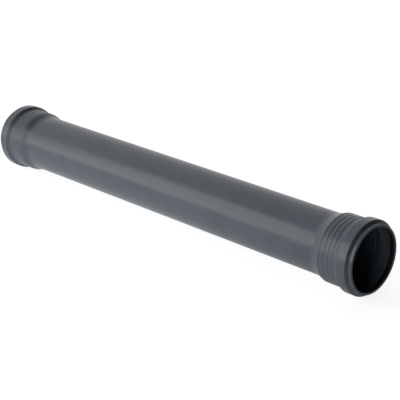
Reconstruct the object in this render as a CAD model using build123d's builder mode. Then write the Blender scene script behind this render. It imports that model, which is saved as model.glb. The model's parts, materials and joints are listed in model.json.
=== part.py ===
"""Push-fit drain pipe with a ring-seal socket at each end.

Millimetres, +Z up. The pipe lies along X, the middle of its axis is the origin, and its two sockets are
alike. The plain barrel widens through a taper into each socket, whose wall is waved with soft grooves,
outside and inside. Nearest the mouth a raised bead makes room for the seal chamber, and a thinner lip with
an inward nib closes it. A rubber lip seal sits behind each nib.

Every piece is round about X: its profile is drawn as radius over length, and revolved.
"""

import os

from build123d import *

# Barrel
pipe_length = 940.0
barrel_diameter = 110.0
barrel_wall = 4.4

# Socket radii, each as a step outwards from the one that it rests on
spigot_clearance = 0.6
socket_wall = 4.5
chamber_height = 5.65
bead_wall = 4.4
mouth_clearance = 0.6
nib_height = 1.5
lip_wall = 2.4

# Socket lengths, in order from the mouth plane towards the barrel
nib_length = 1.2
lip_length = 6.0
shoulder_length = 3.3
bead_length = 17.5
bead_slope_length = 6.2
first_land_length = 2.9
land_length = 5.0
last_land_length = 1.9
taper_length = 16.2

# Grooves: arcs outside, and in line with them inside flat floors with eased sides, which guide the spigot
groove_count = 4
groove_width = 4.2
groove_depth = 0.7
inner_groove_width = 5.6
inner_groove_depth = 0.45
inner_groove_side = 1.0

# Seal chamber, from the outside shape
pocket_overrun = 1.6
chamber_front_length = 2.8
chamber_back_inset = 1.8
chamber_slope_length = 2.0

# Rounded corners
rim_round = 0.5
shoulder_foot_round = 0.8
bead_front_round = 1.4
bead_back_round = 2.4
slope_foot_round = 3.0
chamber_round = 1.2
bore_edge_round = 1.6
taper_crown_round = 10.0
taper_foot_round = 8.0

# Lip seal
seal_clearance = 0.05
seal_front_height = 0.9
seal_lip_depth = 5.2
seal_lip_clearance = 0.15
seal_lip_round = 1.0
seal_heel_length = 1.8
seal_heel_height = 2.8
seal_back_slope = 1.3

barrel_radius = barrel_diameter / 2
barrel_bore_radius = barrel_radius - barrel_wall
bore_radius = barrel_radius + spigot_clearance
land_radius = bore_radius + socket_wall + groove_depth
chamber_radius = bore_radius + chamber_height
bead_radius = chamber_radius + bead_wall
mouth_radius = bore_radius + mouth_clearance
pocket_radius = mouth_radius + nib_height
lip_radius = pocket_radius + lip_wall

bead_front = lip_length + shoulder_length
bead_back = bead_front + bead_length
land_front = bead_back + bead_slope_length
groove_pitch = groove_width + land_length
first_groove = land_front + first_land_length + groove_width / 2
groove_centres = [first_groove + i * groove_pitch for i in range(groove_count)]
taper_front = groove_centres[-1] + groove_width / 2 + last_land_length
taper_back = taper_front + taper_length

pocket_back = lip_length + pocket_overrun
chamber_front = pocket_back + chamber_front_length
chamber_back = bead_back - chamber_back_inset
bore_front = chamber_back + chamber_slope_length


def at(depth, radius, side=1):
    """Profile point at a depth behind the mouth plane of the socket on the +X side, or -X with side -1."""
    return (side * (pipe_length / 2 - depth), radius)


def outer_wall():
    """Outside of the socket wall, from the bead to the taper, with an arc groove at each centre."""
    here = land_front
    for centre in groove_centres:
        groove_front, groove_back = centre - groove_width / 2, centre + groove_width / 2
        groove_floor = at(centre, land_radius - groove_depth)
        Line(at(here, land_radius), at(groove_front, land_radius))
        ThreePointArc(at(groove_front, land_radius), groove_floor, at(groove_back, land_radius))
        here = groove_back
    Line(at(here, land_radius), at(taper_front, land_radius))


def eased_step(land_depth, floor_depth):
    """Side of an inner groove: two arcs that leave the land and the floor level and meet halfway."""
    halfway = at((land_depth + floor_depth) / 2, bore_radius + inner_groove_depth / 2)
    inwards = 1 if floor_depth < land_depth else -1
    TangentArc(at(land_depth, bore_radius), halfway, tangent=(inwards, 0))
    TangentArc(at(floor_depth, bore_radius + inner_groove_depth), halfway, tangent=(-inwards, 0))


def inner_wall():
    """Inside of the socket wall, with a flat groove under each outer one but the last, next to the taper."""
    floor_radius = bore_radius + inner_groove_depth
    here = bore_front
    for centre in groove_centres[:-1]:
        groove_front, groove_back = centre - inner_groove_width / 2, centre + inner_groove_width / 2
        floor_front, floor_back = groove_front + inner_groove_side, groove_back - inner_groove_side
        Line(at(here, bore_radius), at(groove_front, bore_radius))
        eased_step(groove_front, floor_front)
        Line(at(floor_front, floor_radius), at(floor_back, floor_radius))
        eased_step(groove_back, floor_back)
        here = groove_back
    Line(at(here, bore_radius), at(taper_front, bore_radius))


def corners(depth, radius):
    """Corners of the sketched profile at one depth and radius, one for each socket."""
    corner_x, corner_y = at(depth, radius)
    return vertices().filter_by(
        lambda corner: abs(abs(corner.X) - corner_x) < 0.001 and abs(corner.Y - corner_y) < 0.001
    )


# Pipe body: barrel, tapers, waved socket walls, seal chambers and lips, all one wall
with BuildPart() as pipe_body:
    with BuildSketch():
        with BuildLine():
            # Outside, from the rim to the middle of the barrel
            Polyline(
                at(0, lip_radius),
                at(lip_length, lip_radius),
                at(bead_front, bead_radius),
                at(bead_back, bead_radius),
                at(land_front, land_radius),
            )
            outer_wall()
            Polyline(at(taper_front, land_radius), at(taper_back, barrel_radius), (0, barrel_radius))
            # Inside, from the rim to the middle of the barrel
            Polyline(
                at(0, lip_radius),
                at(0, mouth_radius),
                at(nib_length, mouth_radius),
                at(nib_length, pocket_radius),
                at(pocket_back, pocket_radius),
                at(chamber_front, chamber_radius),
                at(chamber_back, chamber_radius),
                at(bore_front, bore_radius),
            )
            inner_wall()
            Polyline(
                at(taper_front, bore_radius),
                at(taper_back, barrel_bore_radius),
                (0, barrel_bore_radius),
            )
            mirror(about=Plane.YZ)
        make_face()
        fillet(corners(0, lip_radius) + corners(0, mouth_radius), radius=rim_round)
        fillet(corners(lip_length, lip_radius), radius=shoulder_foot_round)
        fillet(corners(bead_front, bead_radius), radius=bead_front_round)
        fillet(corners(bead_back, bead_radius), radius=bead_back_round)
        fillet(corners(land_front, land_radius), radius=slope_foot_round)
        fillet(corners(chamber_back, chamber_radius), radius=chamber_round)
        fillet(corners(bore_front, bore_radius), radius=bore_edge_round)
        fillet(
            corners(taper_front, land_radius) + corners(taper_front, bore_radius), radius=taper_crown_round
        )
        fillet(
            corners(taper_back, barrel_radius) + corners(taper_back, barrel_bore_radius),
            radius=taper_foot_round,
        )
    revolve(axis=Axis.X)
pipe_body.part.label = "pipe_body"


def lip_seal(side):
    """Rubber ring behind a nib: a thin front, a lip that rises to the spigot, and a heel in the chamber."""
    seal_front = nib_length + seal_clearance
    seat_radius = chamber_radius - seal_clearance
    heel_back = chamber_front + seal_heel_length
    lip_crest = at(seal_lip_depth, bore_radius + seal_lip_clearance, side)
    with BuildPart() as seal:
        with BuildSketch():
            with BuildLine():
                Polyline(
                    at(seal_front, pocket_radius - seal_clearance - seal_front_height, side),
                    at(seal_front, pocket_radius - seal_clearance, side),
                    at(pocket_back + seal_clearance, pocket_radius - seal_clearance, side),
                    at(chamber_front + seal_clearance, seat_radius, side),
                    at(heel_back, seat_radius, side),
                    at(heel_back - seal_back_slope, seat_radius - seal_heel_height, side),
                    lip_crest,
                    close=True,
                )
            make_face()
            fillet(vertices().sort_by_distance(lip_crest)[0], radius=seal_lip_round)
        revolve(axis=Axis.X)
    return seal.part


lip_seal_a = lip_seal(side=1)
lip_seal_a.label = "lip_seal_a"
lip_seal_b = lip_seal(side=-1)
lip_seal_b.label = "lip_seal_b"

os.makedirs("parts", exist_ok=True)
export_step(pipe_body.part, "parts/pipe_body.step")
export_step(lip_seal_a, "parts/lip_seal_a.step")
export_step(lip_seal_b, "parts/lip_seal_b.step")
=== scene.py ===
"""Dressed scene of a drain pipe with a push-fit socket at each end, lying on a pale studio floor.

The pipe's wall and its two rubber lip seals are turned about the pipe's axis by one Geometry Nodes tree.
Their sections are drawn here in millimetres, as depth behind a mouth and radius. They have the sizes of
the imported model, with a softer outer foot of the taper and with rounded edges on the seals. Each surface
is finished with procedural nodes, which read object coordinates and how exposed each edge is.
"""

import json
import logging
import math
from dataclasses import dataclass, field
from enum import Enum

import bpy
from mathutils import Matrix, Vector

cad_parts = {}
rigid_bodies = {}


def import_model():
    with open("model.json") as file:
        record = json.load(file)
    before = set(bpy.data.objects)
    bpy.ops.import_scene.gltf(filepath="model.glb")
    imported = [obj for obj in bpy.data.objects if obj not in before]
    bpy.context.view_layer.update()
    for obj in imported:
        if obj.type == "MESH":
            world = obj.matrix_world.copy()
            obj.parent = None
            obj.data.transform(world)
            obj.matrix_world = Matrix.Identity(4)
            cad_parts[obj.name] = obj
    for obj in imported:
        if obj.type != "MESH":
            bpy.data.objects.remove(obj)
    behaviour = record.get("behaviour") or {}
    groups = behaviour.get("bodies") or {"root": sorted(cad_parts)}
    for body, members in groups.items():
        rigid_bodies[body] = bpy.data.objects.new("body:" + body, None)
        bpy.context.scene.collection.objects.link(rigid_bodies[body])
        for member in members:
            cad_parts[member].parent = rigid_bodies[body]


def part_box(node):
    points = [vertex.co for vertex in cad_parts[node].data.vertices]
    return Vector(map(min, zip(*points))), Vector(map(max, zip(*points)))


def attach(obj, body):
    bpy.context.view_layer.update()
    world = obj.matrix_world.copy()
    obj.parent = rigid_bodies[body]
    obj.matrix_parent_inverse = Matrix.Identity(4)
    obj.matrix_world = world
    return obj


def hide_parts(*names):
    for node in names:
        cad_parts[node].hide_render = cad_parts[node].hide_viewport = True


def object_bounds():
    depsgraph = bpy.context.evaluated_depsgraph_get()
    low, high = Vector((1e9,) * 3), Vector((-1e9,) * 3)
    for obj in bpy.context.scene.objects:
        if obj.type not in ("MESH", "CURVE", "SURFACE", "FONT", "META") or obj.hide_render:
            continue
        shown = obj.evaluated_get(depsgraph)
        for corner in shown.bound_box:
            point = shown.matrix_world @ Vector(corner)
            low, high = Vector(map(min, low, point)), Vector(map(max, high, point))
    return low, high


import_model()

packed_box = [list(corner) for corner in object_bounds()]

logging.basicConfig(level=logging.INFO, format="%(message)s")
log = logging.getLogger("drain_pipe")

MM = 0.001
BODY = "root"
WEAR_ATTRIBUTE = "edge_wear"
POLYMER_IOR = 1.5

# Where most values of a noise texture lie
NOISE_SPAN = (0.3, 0.7)

Pair = tuple[float, float]
Triple = tuple[float, float, float]


class End(Enum):
    """The end of the pipe that a socket or seal belongs to, as the sign of its X."""

    A = 1
    B = -1


class Slot(Enum):
    """Material slots of the part's record."""

    PLASTIC = "pipe_plastic"
    RUBBER = "seal_rubber"


@dataclass(frozen=True)
class Corner:
    """One corner of a turned section, in millimetres.

    Args:
        depth: distance behind the mouth plane.
        radius: distance from the pipe's axis.
        rounding: radius of the fillet on the corner, or 0 for a sharp one.
    """

    depth: float
    radius: float
    rounding: float = 0.0

    def place(self) -> Vector:
        """The corner as a flat vector of depth and radius."""
        return Vector((self.depth, self.radius))


@dataclass
class Section:
    """Outline of a turned section: corners in order, with fillets and holding points worked out.

    Args:
        corners: the outline's corners, in order.
        fillet_step: largest turn between two points of a fillet, in degrees.
        hold: distance of a holding point from the end of a straight run, which keeps shading crisp.
        fewest_chords: number of chords that even a slight fillet gets.
        shortest_held: how many times the hold a straight run measures before it gets holding points.
    """

    corners: list[Corner] = field(default_factory=list)
    fillet_step: float = 7.5
    hold: float = 0.3
    fewest_chords: int = 4
    shortest_held: float = 3.0

    def add(self, depth: float, radius: float, rounding: float = 0.0) -> None:
        """Add one corner to the end of the outline."""
        self.corners.append(Corner(depth, radius, rounding))

    def add_arc(self, start: float, end: float, radius: float, rise: float, steps: int = 8) -> None:
        """Add an arc between two depths at one radius.

        Args:
            start: depth where the arc begins.
            end: depth where it ends.
            radius: radius at both of its ends.
            rise: radial height of its middle, negative for a groove in an outer wall.
            steps: number of chords that follow the arc.
        """
        half = (end - start) / 2
        sweep_radius = (half * half + rise * rise) / (2 * abs(rise))
        centre_offset = sweep_radius - abs(rise)
        sign = math.copysign(1.0, rise)
        limit = math.asin(half / sweep_radius)
        for step in range(steps + 1):
            turn = limit * (2 * step / steps - 1)
            along = (start + end) / 2 + sweep_radius * math.sin(turn)
            self.add(along, radius + sign * (sweep_radius * math.cos(turn) - centre_offset))

    def add_ease(self, start: Corner, end: Corner, steps: int = 8) -> None:
        """Add an S-shaped step that leaves both of its ends level.

        Args:
            start: where the step begins.
            end: where it ends.
            steps: number of chords that follow it.
        """
        for step in range(steps + 1):
            share = step / steps
            level = 2 * share * share if share < 0.5 else 1 - 2 * (1 - share) ** 2
            self.add(
                start.depth + (end.depth - start.depth) * share,
                start.radius + (end.radius - start.radius) * level,
            )

    def fillet(self, before: Vector, corner: Corner, after: Vector) -> list[Vector]:
        """Points of the fillet on one corner.

        Args:
            before: the corner before it.
            corner: the corner that is rounded.
            after: the corner after it.

        Returns:
            The fillet's points in order, or the corner alone where it is sharp.
        """
        here = corner.place()
        if corner.rounding <= 0:
            return [here]
        inward, outward = (before - here).normalized(), (after - here).normalized()
        opening = inward.angle(outward)
        turn = math.pi - opening
        reach = corner.rounding / math.tan(opening / 2)
        bisector = (inward + outward).normalized()
        centre = here + bisector * (corner.rounding / math.sin(opening / 2))
        first, last = here + inward * reach - centre, here + outward * reach - centre
        steps = max(self.fewest_chords, math.ceil(math.degrees(turn) / self.fillet_step))
        sign = 1 if first.x * last.y - first.y * last.x > 0 else -1
        return [
            centre + Matrix.Rotation(sign * turn * step / steps, 2) @ first for step in range(steps + 1)
        ]

    def points(self) -> list[Vector]:
        """Work out the closed outline.

        Returns:
            Its points in order, with fillets and holding points.
        """
        places = [corner.place() for corner in self.corners]
        count = len(places)
        rounded = [
            self.fillet(places[i - 1], corner, places[(i + 1) % count])
            for i, corner in enumerate(self.corners)
        ]
        outline: list[Vector] = []
        for i, stretch in enumerate(rounded):
            outline.extend(stretch)
            start, end = stretch[-1], rounded[(i + 1) % count][0]
            run = (end - start).length
            if run > self.shortest_held * self.hold:
                step = (end - start).normalized() * self.hold
                outline.extend((start + step, end - step))
        return outline


@dataclass(frozen=True)
class PipeSizes:
    """Driving sizes of the pipe, in millimetres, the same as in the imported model."""

    barrel_radius: float = 55.0
    barrel_wall: float = 4.4
    spigot_clearance: float = 0.6
    socket_wall: float = 4.5
    chamber_height: float = 5.65
    bead_wall: float = 4.4
    mouth_clearance: float = 0.6
    nib_height: float = 1.5
    lip_wall: float = 2.4

    nib_length: float = 1.2
    lip_length: float = 6.0
    shoulder_length: float = 3.3
    bead_length: float = 17.5
    bead_slope_length: float = 6.2
    first_land_length: float = 2.9
    land_length: float = 5.0
    last_land_length: float = 1.9
    taper_length: float = 16.2

    groove_count: int = 4
    groove_width: float = 4.2
    groove_depth: float = 0.7
    inner_groove_width: float = 5.6
    inner_groove_depth: float = 0.45
    inner_groove_side: float = 1.0

    pocket_overrun: float = 1.6
    chamber_front_length: float = 2.8
    chamber_back_inset: float = 1.8
    chamber_slope_length: float = 2.0

    @property
    def bore_radius(self) -> float:
        """Inside of the socket wall, which guides the spigot."""
        return self.barrel_radius + self.spigot_clearance

    @property
    def land_radius(self) -> float:
        """Outside of the socket wall between its grooves."""
        return self.bore_radius + self.socket_wall + self.groove_depth

    @property
    def chamber_radius(self) -> float:
        """Inside of the seal chamber."""
        return self.bore_radius + self.chamber_height

    @property
    def bead_radius(self) -> float:
        """Outside of the bead over the seal chamber."""
        return self.chamber_radius + self.bead_wall

    @property
    def mouth_radius(self) -> float:
        """Inside of the nib at the mouth."""
        return self.bore_radius + self.mouth_clearance

    @property
    def pocket_radius(self) -> float:
        """Inside of the lip behind the nib."""
        return self.mouth_radius + self.nib_height

    @property
    def lip_radius(self) -> float:
        """Outside of the lip."""
        return self.pocket_radius + self.lip_wall

    @property
    def bead_front(self) -> float:
        """Depth of the bead's front edge."""
        return self.lip_length + self.shoulder_length

    @property
    def bead_back(self) -> float:
        """Depth of the bead's back edge."""
        return self.bead_front + self.bead_length

    @property
    def land_front(self) -> float:
        """Depth where the slope behind the bead meets the socket wall."""
        return self.bead_back + self.bead_slope_length

    @property
    def groove_pitch(self) -> float:
        """Distance between two grooves."""
        return self.groove_width + self.land_length

    def groove_centres(self) -> list[float]:
        """Depths of the outer grooves' middles."""
        first = self.land_front + self.first_land_length + self.groove_width / 2
        return [first + i * self.groove_pitch for i in range(self.groove_count)]

    def inner_groove_centres(self) -> list[float]:
        """Depths of the inner grooves' middles, under the outer ones but the last."""
        return self.groove_centres()[:-1]

    @property
    def taper_front(self) -> float:
        """Depth where the socket wall begins to narrow."""
        return self.groove_centres()[-1] + self.groove_width / 2 + self.last_land_length

    @property
    def taper_back(self) -> float:
        """Depth where the taper reaches the barrel."""
        return self.taper_front + self.taper_length

    @property
    def pocket_back(self) -> float:
        """Depth where the pocket behind the nib begins to widen."""
        return self.lip_length + self.pocket_overrun

    @property
    def chamber_front(self) -> float:
        """Depth of the seal chamber's front edge."""
        return self.pocket_back + self.chamber_front_length

    @property
    def chamber_back(self) -> float:
        """Depth of the seal chamber's back edge."""
        return self.bead_back - self.chamber_back_inset

    @property
    def bore_front(self) -> float:
        """Depth where the step behind the chamber reaches the bore."""
        return self.chamber_back + self.chamber_slope_length


@dataclass(frozen=True)
class Roundings:
    """Fillets of the pipe's wall, in millimetres, as packed but for the softer outer foot of the taper."""

    rim: float = 0.5
    shoulder_foot: float = 0.8
    bead_front: float = 1.4
    bead_back: float = 2.4
    slope_foot: float = 3.0
    chamber: float = 1.2
    bore_edge: float = 1.6
    taper_crown: float = 10.0
    taper_foot: float = 45.0
    taper_bore_foot: float = 8.0


@dataclass(frozen=True)
class SealSizes:
    """Driving sizes of a lip seal, in millimetres, as packed but for the rounding of its edges."""

    clearance: float = 0.05
    front_height: float = 0.9
    lip_depth: float = 5.2
    lip_clearance: float = 0.15
    lip_round: float = 1.0
    heel_length: float = 1.8
    heel_height: float = 2.8
    back_slope: float = 1.3
    edge_round: float = 0.25


class NodeLayout:
    """Short way to add and link nodes in one tree.

    Args:
        tree: the node tree that is filled.
    """

    def __init__(self, tree: bpy.types.NodeTree) -> None:
        """Keep the tree."""
        self.tree = tree

    def add(self, kind: str, **settings: object) -> bpy.types.Node:
        """Add a node and set its plain properties.

        Args:
            kind: the node's type.
            settings: the properties' names and values.

        Returns:
            The new node.
        """
        node = self.tree.nodes.new(kind)
        for name, value in settings.items():
            setattr(node, name, value)
        return node

    def link(self, source: bpy.types.NodeSocket, target: bpy.types.NodeSocket) -> None:
        """Join an output to an input."""
        self.tree.links.new(source, target)

    def math(self, operation: str, first: object, second: object = None) -> bpy.types.NodeSocket:
        """Add a Math node.

        Args:
            operation: its operation.
            first: a socket to link or a number.
            second: a socket to link, a number, or None.

        Returns:
            Its result.
        """
        node = self.add("ShaderNodeMath", operation=operation)
        for value, target in zip((first, second), node.inputs):
            if isinstance(value, bpy.types.NodeSocket):
                self.link(value, target)
            elif value is not None:
                target.default_value = value
        return node.outputs[0]

    def remap(self, value: bpy.types.NodeSocket, source: Pair, target: Pair) -> bpy.types.NodeSocket:
        """Add a clamped Map Range node.

        Args:
            value: the socket that is remapped.
            source: lowest and highest value that is read.
            target: the values that they become.

        Returns:
            Its result.
        """
        node = self.add("ShaderNodeMapRange")
        self.link(value, node.inputs["Value"])
        names = ("From Min", "From Max", "To Min", "To Max")
        for name, number in zip(names, (*source, *target)):
            node.inputs[name].default_value = number
        return node.outputs["Result"]

    def bump(self, height: bpy.types.NodeSocket, relief: Pair) -> bpy.types.Node:
        """Add a Bump node.

        Args:
            height: the socket that it follows.
            relief: its strength, and its depth in metres.

        Returns:
            The new node.
        """
        node = self.add("ShaderNodeBump")
        node.inputs["Strength"].default_value, node.inputs["Distance"].default_value = relief
        self.link(height, node.inputs["Height"])
        return node


class RevolveTree:
    """Geometry Nodes tree that turns a section about the X axis.

    The object's own geometry is the section: a closed curve with X along the axis and Y as the radius.
    """

    SEGMENTS = "Segments"
    CORE = "Core radius"
    CREASE = "Crease angle"
    MATERIAL = "Material"
    CREASE_DEGREES = 25
    WORN_RADIANS = (0.04, 0.30)
    PATH_RADIUS = 1.0 * MM

    def __init__(self) -> None:
        """Make the tree, empty at first, and fill it."""
        self.tree = bpy.data.node_groups.new("turn_section_about_x", "GeometryNodeTree")
        self.ids: dict[str, str] = {}
        self._build()

    def _input(self, name: str, kind: str) -> None:
        """Add a named input and keep its identifier."""
        socket = self.tree.interface.new_socket(name, in_out="INPUT", socket_type=kind)
        self.ids[name] = socket.identifier

    def _build(self) -> None:
        """Make the tree's nodes."""
        self._input("Geometry", "NodeSocketGeometry")
        self._input(self.SEGMENTS, "NodeSocketInt")
        self._input(self.CORE, "NodeSocketFloat")
        self._input(self.CREASE, "NodeSocketFloat")
        self._input(self.MATERIAL, "NodeSocketMaterial")
        self.tree.interface.new_socket("Geometry", in_out="OUTPUT", socket_type="NodeSocketGeometry")
        layout = NodeLayout(self.tree)
        given = layout.add("NodeGroupInput")

        # The path is a small circle round X, and the section is moved in by the circle's radius
        path = layout.add("GeometryNodeCurvePrimitiveCircle")
        layout.link(given.outputs[self.SEGMENTS], path.inputs["Resolution"])
        layout.link(given.outputs[self.CORE], path.inputs["Radius"])
        upright = layout.add("GeometryNodeTransform")
        upright.inputs["Rotation"].default_value = (0, math.pi / 2, 0)
        layout.link(path.outputs["Curve"], upright.inputs["Geometry"])

        place = layout.add("GeometryNodeInputPosition")
        split = layout.add("ShaderNodeSeparateXYZ")
        layout.link(place.outputs["Position"], split.inputs[0])
        outwards = layout.math("SUBTRACT", split.outputs["Y"], given.outputs[self.CORE])
        turned = layout.add("ShaderNodeCombineXYZ")
        layout.link(split.outputs["X"], turned.inputs["X"])
        layout.link(outwards, turned.inputs["Y"])
        section = layout.add("GeometryNodeSetPosition")
        layout.link(given.outputs["Geometry"], section.inputs["Geometry"])
        layout.link(turned.outputs["Vector"], section.inputs["Position"])

        sweep = layout.add("GeometryNodeCurveToMesh")
        layout.link(upright.outputs["Geometry"], sweep.inputs["Curve"])
        layout.link(section.outputs["Geometry"], sweep.inputs["Profile Curve"])

        # Wear gathers on convex edges, and edges past the crease angle stay crisp
        angle = layout.add("GeometryNodeInputMeshEdgeAngle")
        exposed = layout.remap(angle.outputs["Signed Angle"], self.WORN_RADIANS, (0.0, 1.0))
        wear = layout.add("GeometryNodeStoreNamedAttribute", data_type="FLOAT", domain="POINT")
        wear.inputs["Name"].default_value = WEAR_ATTRIBUTE
        layout.link(sweep.outputs["Mesh"], wear.inputs["Geometry"])
        layout.link(exposed, wear.inputs["Value"])
        soft = layout.add("FunctionNodeCompare", data_type="FLOAT", operation="LESS_THAN")
        layout.link(angle.outputs["Unsigned Angle"], soft.inputs[0])
        layout.link(given.outputs[self.CREASE], soft.inputs[1])
        shade = layout.add("GeometryNodeSetShadeSmooth", domain="EDGE")
        layout.link(wear.outputs["Geometry"], shade.inputs["Geometry"])
        layout.link(soft.outputs["Result"], shade.inputs["Shade Smooth"])

        real = layout.add("GeometryNodeRealizeInstances")
        layout.link(shade.outputs["Geometry"], real.inputs["Geometry"])
        dressed = layout.add("GeometryNodeSetMaterial")
        layout.link(real.outputs["Geometry"], dressed.inputs["Geometry"])
        layout.link(given.outputs[self.MATERIAL], dressed.inputs["Material"])
        result = layout.add("NodeGroupOutput")
        layout.link(dressed.outputs["Geometry"], result.inputs["Geometry"])

    def turn(
        self, name: str, outline: list[Vector], material: bpy.types.Material, segments: int = 180
    ) -> bpy.types.Object:
        """Turn a section into a plain mesh object.

        Args:
            name: the piece's name.
            outline: the section's points in metres, as place along X and radius.
            material: the finish of the whole piece.
            segments: number of steps round the axis.

        Returns:
            The finished object, at the origin, with no modifier.
        """
        curve = bpy.data.curves.new(f"{name}_section", "CURVE")
        curve.dimensions = "3D"
        spline = curve.splines.new("POLY")
        spline.points.add(len(outline) - 1)
        for point, at in zip(spline.points, outline):
            point.co = (at.x, at.y, 0.0, 1.0)
        spline.use_cyclic_u = True
        holder = bpy.data.objects.new(f"{name}_section", curve)
        bpy.context.scene.collection.objects.link(holder)
        modifier = holder.modifiers.new("turn", "NODES")
        modifier.node_group = self.tree
        modifier[self.ids[self.SEGMENTS]] = segments
        modifier[self.ids[self.CORE]] = self.PATH_RADIUS
        modifier[self.ids[self.CREASE]] = math.radians(self.CREASE_DEGREES)
        modifier[self.ids[self.MATERIAL]] = material
        graph = bpy.context.evaluated_depsgraph_get()
        mesh = bpy.data.meshes.new_from_object(holder.evaluated_get(graph), depsgraph=graph)
        mesh.name = name
        holder.modifiers.remove(modifier)
        bpy.data.objects.remove(holder)
        bpy.data.curves.remove(curve)
        piece = bpy.data.objects.new(name, mesh)
        bpy.context.scene.collection.objects.link(piece)
        return piece


class GrainGroup:
    """Shader group: fine moulded grain and slow mottling on object coordinates."""

    def __init__(self) -> None:
        """Make the group, with one noise for the grain and one for the mottling."""
        self.tree = bpy.data.node_groups.new("grain_and_mottle", "ShaderNodeTree")
        for name, value in (("Grain size", 0.0006), ("Mottle size", 0.06)):
            socket = self.tree.interface.new_socket(name, in_out="INPUT", socket_type="NodeSocketFloat")
            socket.default_value = value
        for name in ("Grain", "Mottle"):
            self.tree.interface.new_socket(name, in_out="OUTPUT", socket_type="NodeSocketFloat")
        layout = NodeLayout(self.tree)
        given = layout.add("NodeGroupInput")
        result = layout.add("NodeGroupOutput")
        place = layout.add("ShaderNodeTexCoord")
        for size, output, detail in (("Grain size", "Grain", 3.0), ("Mottle size", "Mottle", 2.0)):
            noise = layout.add("ShaderNodeTexNoise")
            noise.inputs["Detail"].default_value = detail
            layout.link(place.outputs["Object"], noise.inputs["Vector"])
            layout.link(layout.math("DIVIDE", 1.0, given.outputs[size]), noise.inputs["Scale"])
            layout.link(noise.outputs["Fac"], result.inputs[output])


class WearGroup:
    """Shader group: worn convex edges, from the attribute that the turning leaves on each piece."""

    PATCH_SPAN = (0.35, 0.65)
    PATCH_WEAR = (0.3, 1.0)

    def __init__(self) -> None:
        """Make the group, with wear that comes and goes in patches."""
        self.tree = bpy.data.node_groups.new("worn_edges", "ShaderNodeTree")
        for name, value in (("Amount", 0.5), ("Patch size", 0.008)):
            socket = self.tree.interface.new_socket(name, in_out="INPUT", socket_type="NodeSocketFloat")
            socket.default_value = value
        self.tree.interface.new_socket("Wear", in_out="OUTPUT", socket_type="NodeSocketFloat")
        layout = NodeLayout(self.tree)
        given = layout.add("NodeGroupInput")
        result = layout.add("NodeGroupOutput")
        place = layout.add("ShaderNodeTexCoord")
        noise = layout.add("ShaderNodeTexNoise")
        layout.link(place.outputs["Object"], noise.inputs["Vector"])
        layout.link(layout.math("DIVIDE", 1.0, given.outputs["Patch size"]), noise.inputs["Scale"])
        patches = layout.remap(noise.outputs["Fac"], self.PATCH_SPAN, self.PATCH_WEAR)
        edge = layout.add("ShaderNodeAttribute", attribute_name=WEAR_ATTRIBUTE)
        worn = layout.math("MULTIPLY", edge.outputs["Fac"], patches)
        layout.link(layout.math("MULTIPLY", worn, given.outputs["Amount"]), result.inputs["Wear"])


@dataclass(frozen=True)
class MottledFinish:
    """Finish with slow mottling, fine grain and rubbed edges, which both of the part's materials share.

    Args:
        name: the material's name.
        colour: its colour.
        rubbed_colour: the colour of its rubbed edges.
        mottle: how far the colour varies, as a share of itself.
        roughness: lowest and highest roughness.
        grain_size: size of the fine grain, in metres.
        mottle_size: size of the mottling, in metres.
        wear: how far the edges are rubbed.
        grain_relief: strength of the grain's bump, and its depth in metres.
    """

    name: str
    colour: Triple
    rubbed_colour: Triple
    mottle: float
    roughness: Pair
    grain_size: float
    mottle_size: float
    wear: float
    grain_relief: Pair

    def material(self, grain: GrainGroup, worn: WearGroup) -> bpy.types.Material:
        """Build the material: its colour here, and its gloss and relief by the finish's own method.

        Args:
            grain: the shared grain group.
            worn: the shared wear group.

        Returns:
            The new material.
        """
        material = bpy.data.materials.new(self.name)
        material.use_nodes = True
        layout = NodeLayout(material.node_tree)
        shader = material.node_tree.nodes["Principled BSDF"]
        shader.inputs["IOR"].default_value = POLYMER_IOR

        texture = layout.add("ShaderNodeGroup", node_tree=grain.tree)
        texture.inputs["Grain size"].default_value = self.grain_size
        texture.inputs["Mottle size"].default_value = self.mottle_size
        edges = layout.add("ShaderNodeGroup", node_tree=worn.tree)
        edges.inputs["Amount"].default_value = self.wear

        shade = layout.remap(texture.outputs["Mottle"], NOISE_SPAN, (1 - self.mottle, 1 + self.mottle))
        tint = layout.add("ShaderNodeVectorMath", operation="SCALE")
        tint.inputs[0].default_value = self.colour
        layout.link(shade, tint.inputs["Scale"])
        blend = layout.add("ShaderNodeMix", data_type="RGBA")
        layout.link(edges.outputs["Wear"], blend.inputs["Factor"])
        layout.link(tint.outputs["Vector"], blend.inputs["A"])
        blend.inputs["B"].default_value = (*self.rubbed_colour, 1.0)
        layout.link(blend.outputs["Result"], shader.inputs["Base Color"])
        self.add_relief(layout, shader, texture)
        return material

    def add_relief(self, layout: NodeLayout, shader: bpy.types.Node, texture: bpy.types.Node) -> None:
        """Give the surface its gloss and relief.

        Args:
            layout: the material's layout.
            shader: its Principled BSDF node.
            texture: its node of grain and mottling.
        """
        raise NotImplementedError


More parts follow.
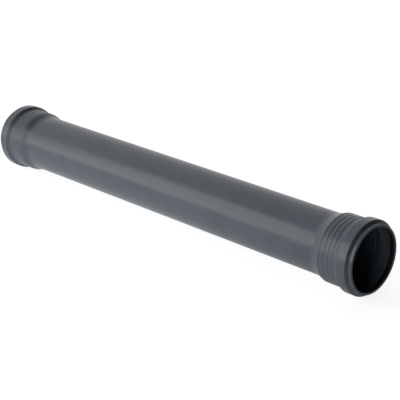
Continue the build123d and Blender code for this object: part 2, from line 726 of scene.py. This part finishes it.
@dataclass(frozen=True)
class PlasticFinish(MottledFinish):
    """Satin anthracite pipe plastic with drawing lines along the pipe, fine grain and rubbed edges.

    Args:
        line_width: width of a drawing line, in metres.
        line_length: its length, in metres.
        line_detail: how many finer layers of noise it has.
        line_relief: strength of its bump, and its depth in metres.
    """

    name: str = "anthracite_pipe_plastic"
    colour: Triple = (0.105, 0.127, 0.152)
    rubbed_colour: Triple = (0.20, 0.22, 0.24)
    mottle: float = 0.06
    roughness: Pair = (0.23, 0.265)
    grain_size: float = 0.0007
    mottle_size: float = 0.05
    wear: float = 0.35
    grain_relief: Pair = (0.025, 0.0001)
    line_width: float = 0.0022
    line_length: float = 0.35
    line_detail: float = 2.0
    line_relief: Pair = (0.015, 0.0002)

    def add_relief(self, layout: NodeLayout, shader: bpy.types.Node, texture: bpy.types.Node) -> None:
        """Give the surface its gloss and relief, with lines along the pipe.

        Args:
            layout: the material's layout.
            shader: its Principled BSDF node.
            texture: its node of grain and mottling.
        """
        # Noise stretched along the pipe changes quickly round it and slowly along it
        place = layout.add("ShaderNodeTexCoord")
        stretch = layout.add("ShaderNodeMapping")
        along, across = 1 / self.line_length, 1 / self.line_width
        stretch.inputs["Scale"].default_value = (along, across, across)
        layout.link(place.outputs["Object"], stretch.inputs["Vector"])
        lines = layout.add("ShaderNodeTexNoise")
        lines.inputs["Scale"].default_value = 1.0
        lines.inputs["Detail"].default_value = self.line_detail
        layout.link(stretch.outputs["Vector"], lines.inputs["Vector"])

        gloss = layout.remap(texture.outputs["Mottle"], NOISE_SPAN, self.roughness)
        layout.link(gloss, shader.inputs["Roughness"])
        fine = layout.bump(texture.outputs["Grain"], self.grain_relief)
        drawn = layout.bump(lines.outputs["Fac"], self.line_relief)
        layout.link(fine.outputs["Normal"], drawn.inputs["Normal"])
        layout.link(drawn.outputs["Normal"], shader.inputs["Normal"])


@dataclass(frozen=True)
class RubberFinish(MottledFinish):
    """Dull black seal rubber with a fine grain and a slight bloom on its edges.

    Args:
        specular_level: how strongly it mirrors, where 0.5 is what its refractive index gives.
    """

    name: str = "black_seal_rubber"
    colour: Triple = (0.010, 0.010, 0.011)
    rubbed_colour: Triple = (0.030, 0.030, 0.032)
    mottle: float = 0.15
    roughness: Pair = (0.62, 0.78)
    grain_size: float = 0.0004
    mottle_size: float = 0.02
    wear: float = 0.3
    grain_relief: Pair = (0.15, 0.0001)
    specular_level: float = 0.35

    def add_relief(self, layout: NodeLayout, shader: bpy.types.Node, texture: bpy.types.Node) -> None:
        """Give the surface its gloss and relief.

        Args:
            layout: the material's layout.
            shader: its Principled BSDF node.
            texture: its node of grain and mottling.
        """
        shader.inputs["Specular IOR Level"].default_value = self.specular_level
        gloss = layout.remap(texture.outputs["Grain"], NOISE_SPAN, self.roughness)
        layout.link(gloss, shader.inputs["Roughness"])
        fine = layout.bump(texture.outputs["Grain"], self.grain_relief)
        layout.link(fine.outputs["Normal"], shader.inputs["Normal"])


@dataclass
class PipeBody:
    """The pipe's one wall: barrel, tapers, grooved sockets, seal chambers and nibbed lips.

    Args:
        length: distance between the two mouth planes, in millimetres.
        sizes: the wall's sizes.
        rounds: its fillets.
    """

    length: float
    sizes: PipeSizes = field(default_factory=PipeSizes)
    rounds: Roundings = field(default_factory=Roundings)

    def outer_half(self) -> Section:
        """Draw the outside of one end.

        Returns:
            Its corners, from the rim to the foot of the taper.
        """
        size, rounds = self.sizes, self.rounds
        section = Section()
        section.add(0.0, size.lip_radius, rounds.rim)
        section.add(size.lip_length, size.lip_radius, rounds.shoulder_foot)
        section.add(size.bead_front, size.bead_radius, rounds.bead_front)
        section.add(size.bead_back, size.bead_radius, rounds.bead_back)
        section.add(size.land_front, size.land_radius, rounds.slope_foot)
        half_width = size.groove_width / 2
        for centre in size.groove_centres():
            section.add_arc(centre - half_width, centre + half_width, size.land_radius, -size.groove_depth)
        section.add(size.taper_front, size.land_radius, rounds.taper_crown)
        section.add(size.taper_back, size.barrel_radius, rounds.taper_foot)
        return section

    def inner_half(self) -> Section:
        """Draw the inside of one end.

        Returns:
            Its corners, from the rim to the foot of the taper.
        """
        size, rounds = self.sizes, self.rounds
        section = Section()
        section.add(0.0, size.mouth_radius, rounds.rim)
        section.add(size.nib_length, size.mouth_radius)
        section.add(size.nib_length, size.pocket_radius)
        section.add(size.pocket_back, size.pocket_radius)
        section.add(size.chamber_front, size.chamber_radius)
        section.add(size.chamber_back, size.chamber_radius, rounds.chamber)
        section.add(size.bore_front, size.bore_radius, rounds.bore_edge)
        half_width, side = size.inner_groove_width / 2, size.inner_groove_side
        floor_radius = size.bore_radius + size.inner_groove_depth
        for centre in size.inner_groove_centres():
            front, back = centre - half_width, centre + half_width
            section.add_ease(Corner(front, size.bore_radius), Corner(front + side, floor_radius))
            section.add_ease(Corner(back - side, floor_radius), Corner(back, size.bore_radius))
        section.add(size.taper_front, size.bore_radius, rounds.taper_crown)
        section.add(size.taper_back, size.barrel_radius - size.barrel_wall, rounds.taper_bore_foot)
        return section

    def at_far_end(self, corners: list[Corner]) -> list[Corner]:
        """The same corners at the other end of the pipe, still counted from this end's mouth."""
        return [Corner(self.length - c.depth, c.radius, c.rounding) for c in corners]

    def outline(self) -> list[Vector]:
        """Draw the whole closed section, out along the outside and back along the inside.

        Returns:
            Its points in metres, as place along X and radius.
        """
        outer, inner = self.outer_half().corners, self.inner_half().corners
        loop = outer + self.at_far_end(outer[::-1]) + self.at_far_end(inner) + inner[::-1]
        points = Section(loop).points()
        return [Vector(((self.length / 2 - p.x) * MM, p.y * MM)) for p in points]

    def build(self, turner: RevolveTree, material: bpy.types.Material) -> bpy.types.Object:
        """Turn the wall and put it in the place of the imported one.

        Args:
            turner: the tree that turns a section.
            material: the wall's plastic.

        Returns:
            The finished piece.
        """
        wall = turner.turn("pipe_wall", self.outline(), material)
        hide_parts("pipe_body")
        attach(wall, BODY)
        return wall


@dataclass
class LipSeal:
    """Rubber ring behind a nib: a thin front, a lip that rises to the spigot, and a heel in the chamber.

    Args:
        end: the end of the pipe that it sits in.
        length: length of the pipe, in millimetres.
        pipe: the pipe's sizes, which its seat follows.
        sizes: the ring's own sizes.
        hold: distance of a holding point from the end of a straight run, in millimetres.
    """

    end: End
    length: float
    pipe: PipeSizes = field(default_factory=PipeSizes)
    sizes: SealSizes = field(default_factory=SealSizes)
    hold: float = 0.15

    def outline(self) -> list[Vector]:
        """Draw the ring's closed section.

        Returns:
            Its points in metres, as place along X and radius.
        """
        pipe, size = self.pipe, self.sizes
        seat = pipe.chamber_radius - size.clearance
        front = pipe.nib_length + size.clearance
        outside = pipe.pocket_radius - size.clearance
        heel_back = pipe.chamber_front + size.heel_length
        edge = size.edge_round
        section = Section(
            [
                Corner(front, outside - size.front_height, edge),
                Corner(front, outside, edge),
                Corner(pipe.pocket_back + size.clearance, outside),
                Corner(pipe.chamber_front + size.clearance, seat),
                Corner(heel_back, seat, edge),
                Corner(heel_back - size.back_slope, seat - size.heel_height, edge),
                Corner(size.lip_depth, pipe.bore_radius + size.lip_clearance, size.lip_round),
            ],
            hold=self.hold,
        )
        side = self.end.value
        return [Vector((side * (self.length / 2 - p.x) * MM, p.y * MM)) for p in section.points()]

    def build(self, turner: RevolveTree, material: bpy.types.Material) -> bpy.types.Object:
        """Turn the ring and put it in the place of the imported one.

        Args:
            turner: the tree that turns a section.
            material: the ring's rubber.

        Returns:
            The finished piece.
        """
        outline = self.outline()
        if self.end is End.B:
            outline.reverse()
        letter = self.end.name.lower()
        ring = turner.turn(f"seal_ring_{letter}", outline, material)
        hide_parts(f"lip_seal_{letter}")
        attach(ring, BODY)
        return ring


@dataclass(frozen=True)
class Softbox:
    """One soft studio lamp that faces the pipe, unseen by the camera.

    Args:
        name: the lamp's name.
        azimuth: where it stands round the pipe, in degrees from +X towards +Y.
        distance: how far off it stands, in metres.
        bottom: height of its lower edge, in metres.
        size: its width and height, in metres.
        radiance: how bright its face is, where 1 is the white of the picture's ground.
    """

    name: str
    azimuth: float
    distance: float
    bottom: float
    size: Pair
    radiance: float

    def build(self) -> None:
        """Make the lamp and turn it to the pipe."""
        width, height = self.size
        data = bpy.data.lights.new(self.name, "AREA")
        data.shape = "RECTANGLE"
        data.size, data.size_y = width, height
        data.energy = self.radiance * math.pi * width * height
        turn = math.radians(self.azimuth)
        lamp = bpy.data.objects.new(self.name, data)
        lamp.location = (
            self.distance * math.cos(turn),
            self.distance * math.sin(turn),
            self.bottom + height / 2,
        )
        lamp.rotation_euler = (math.pi / 2, 0, turn + math.pi / 2)
        lamp.visible_camera = False
        bpy.context.scene.collection.objects.link(lamp)


@dataclass
class Studio:
    """Pale floor, surroundings that are pale on one side, soft lamps and the camera.

    Args:
        floor_height: height of the floor, in metres.
        floor_size: its side, in metres.
        floor_colour: its colour.
        floor_glow: its glow for all rays but the camera's, at the start and the end of the fade.
        floor_fade: where that glow fades, along X in metres.
        floor_glow_seen: its glow for the camera, which makes it white with what the lamp adds.
        pale_side: azimuth of the palest surroundings, from +X towards +Y, and elevation, in degrees.
        pale_edges: cosines from that side at which the surroundings are dark and fully pale.
        surroundings: how bright they are there, where 1 is white.
        camera_azimuth: where the camera stands, in degrees from -Y towards +X.
        camera_elevation: how far it looks down, in degrees.
        camera_distance: how far it is from its aim, in metres.
        camera_aim: the point that it looks at.
        camera_lens: its focal length in millimetres.
        sensor_width: width of its frame in millimetres.
        softboxes: the lamps.
    """

    floor_height: float
    floor_size: float = 14.0
    floor_colour: Triple = (0.60, 0.60, 0.60)
    floor_glow: Pair = (0.50, 0.02)
    floor_fade: Pair = (0.0, 0.8)
    floor_glow_seen: float = 0.84
    pale_side: Pair = (160.0, -22.0)
    pale_edges: Pair = (-0.35, 0.50)
    surroundings: float = 0.80
    camera_azimuth: float = 45.313
    camera_elevation: float = 20.900
    camera_distance: float = 2.1931
    camera_aim: Triple = (0.04006, 0.02928, -0.02065)
    camera_lens: float = 104.729
    sensor_width: float = 36.0
    softboxes: tuple[Softbox, ...] = (
        Softbox(
            name="left_softbox", azimuth=-104.0, distance=4.5, bottom=-0.06, size=(8.0, 4.2), radiance=1.42
        ),
    )

    def build_floor(self) -> None:
        """Make the lit floor, which looks white to the camera and keeps the pipe's shadow."""
        half = self.floor_size / 2
        mesh = bpy.data.meshes.new("studio_floor")
        signs = ((-1, -1), (1, -1), (1, 1), (-1, 1))
        corners = [(x * half, y * half, self.floor_height) for x, y in signs]
        mesh.from_pydata(corners, [], [(0, 1, 2, 3)])
        material = bpy.data.materials.new("pale_floor")
        material.use_nodes = True
        material.node_tree.nodes.clear()
        layout = NodeLayout(material.node_tree)
        rays = layout.add("ShaderNodeLightPath")
        seen = rays.outputs["Is Camera Ray"]
        matt = layout.add("ShaderNodeBsdfDiffuse")
        matt.inputs["Color"].default_value = (*self.floor_colour, 1.0)

        # Its glow lights the pipe from below, less so from the middle towards end A and past it
        place = layout.add("ShaderNodeTexCoord")
        split = layout.add("ShaderNodeSeparateXYZ")
        layout.link(place.outputs["Object"], split.inputs["Vector"])
        glow = layout.add("ShaderNodeEmission")
        fading = layout.remap(split.outputs["X"], self.floor_fade, self.floor_glow)
        strength = layout.add("ShaderNodeMix", data_type="FLOAT")
        layout.link(seen, strength.inputs["Factor"])
        layout.link(fading, strength.inputs["A"])
        strength.inputs["B"].default_value = self.floor_glow_seen
        layout.link(strength.outputs["Result"], glow.inputs["Strength"])
        both = layout.add("ShaderNodeAddShader")
        layout.link(matt.outputs["BSDF"], both.inputs[0])
        layout.link(glow.outputs["Emission"], both.inputs[1])
        output = layout.add("ShaderNodeOutputMaterial")
        layout.link(both.outputs["Shader"], output.inputs["Surface"])
        mesh.materials.append(material)
        floor = bpy.data.objects.new("studio_floor", mesh)
        bpy.context.scene.collection.objects.link(floor)

    def build_surroundings(self) -> None:
        """Make the world: pale on one side of the pipe and dark on the other, and white to the camera."""
        world = bpy.data.worlds.new("studio_surroundings")
        bpy.context.scene.world = world
        world.use_nodes = True
        layout = NodeLayout(world.node_tree)
        background = world.node_tree.nodes["Background"]
        turn, tilt = (math.radians(degrees) for degrees in self.pale_side)
        towards = layout.add("ShaderNodeTexCoord")
        facing = layout.add("ShaderNodeVectorMath", operation="DOT_PRODUCT")
        level = math.cos(tilt)
        facing.inputs[1].default_value = (level * math.cos(turn), level * math.sin(turn), math.sin(tilt))
        layout.link(towards.outputs["Generated"], facing.inputs[0])
        pale = layout.remap(facing.outputs["Value"], self.pale_edges, (0.0, self.surroundings))
        pale.node.interpolation_type = "SMOOTHSTEP"
        rays = layout.add("ShaderNodeLightPath")
        strength = layout.math("MAXIMUM", pale, rays.outputs["Is Camera Ray"])
        layout.link(strength, background.inputs["Strength"])
        background.inputs["Color"].default_value = (1.0, 1.0, 1.0, 1.0)

    def build_camera(self) -> None:
        """Make the camera at the picture's angle and set it as the scene's camera."""
        data = bpy.data.cameras.new("camera")
        data.sensor_width = self.sensor_width
        data.lens = self.camera_lens
        azimuth, elevation = math.radians(self.camera_azimuth), math.radians(self.camera_elevation)
        back = Vector(
            (
                math.sin(azimuth) * math.cos(elevation),
                -math.cos(azimuth) * math.cos(elevation),
                math.sin(elevation),
            )
        )
        camera = bpy.data.objects.new("camera", data)
        camera.location = Vector(self.camera_aim) + back * self.camera_distance
        camera.rotation_euler = (-back).to_track_quat("-Z", "Y").to_euler()
        bpy.context.scene.collection.objects.link(camera)
        bpy.context.scene.camera = camera

    def build(self) -> None:
        """Make the whole studio."""
        self.build_camera()
        self.build_floor()
        self.build_surroundings()
        for softbox in self.softboxes:
            softbox.build()
        bpy.context.scene.view_settings.view_transform = "Standard"


def report(piece: bpy.types.Object) -> None:
    """Log one finished piece with its size in faces."""
    log.info("%s: %d faces", piece.name, len(piece.data.polygons))


def main() -> None:
    """Build the studio, the pipe's wall and the two seals in order."""
    low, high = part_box("pipe_body")
    length = (high[0] - low[0]) / MM
    Studio(floor_height=packed_box[0][2]).build()
    turner, grain, worn = RevolveTree(), GrainGroup(), WearGroup()
    plastic = PlasticFinish().material(grain, worn)
    rubber = RubberFinish().material(grain, worn)
    report(PipeBody(length).build(turner, plastic))
    for end in End:
        report(LipSeal(end, length).build(turner, rubber))


if __name__ == "__main__":
    main()
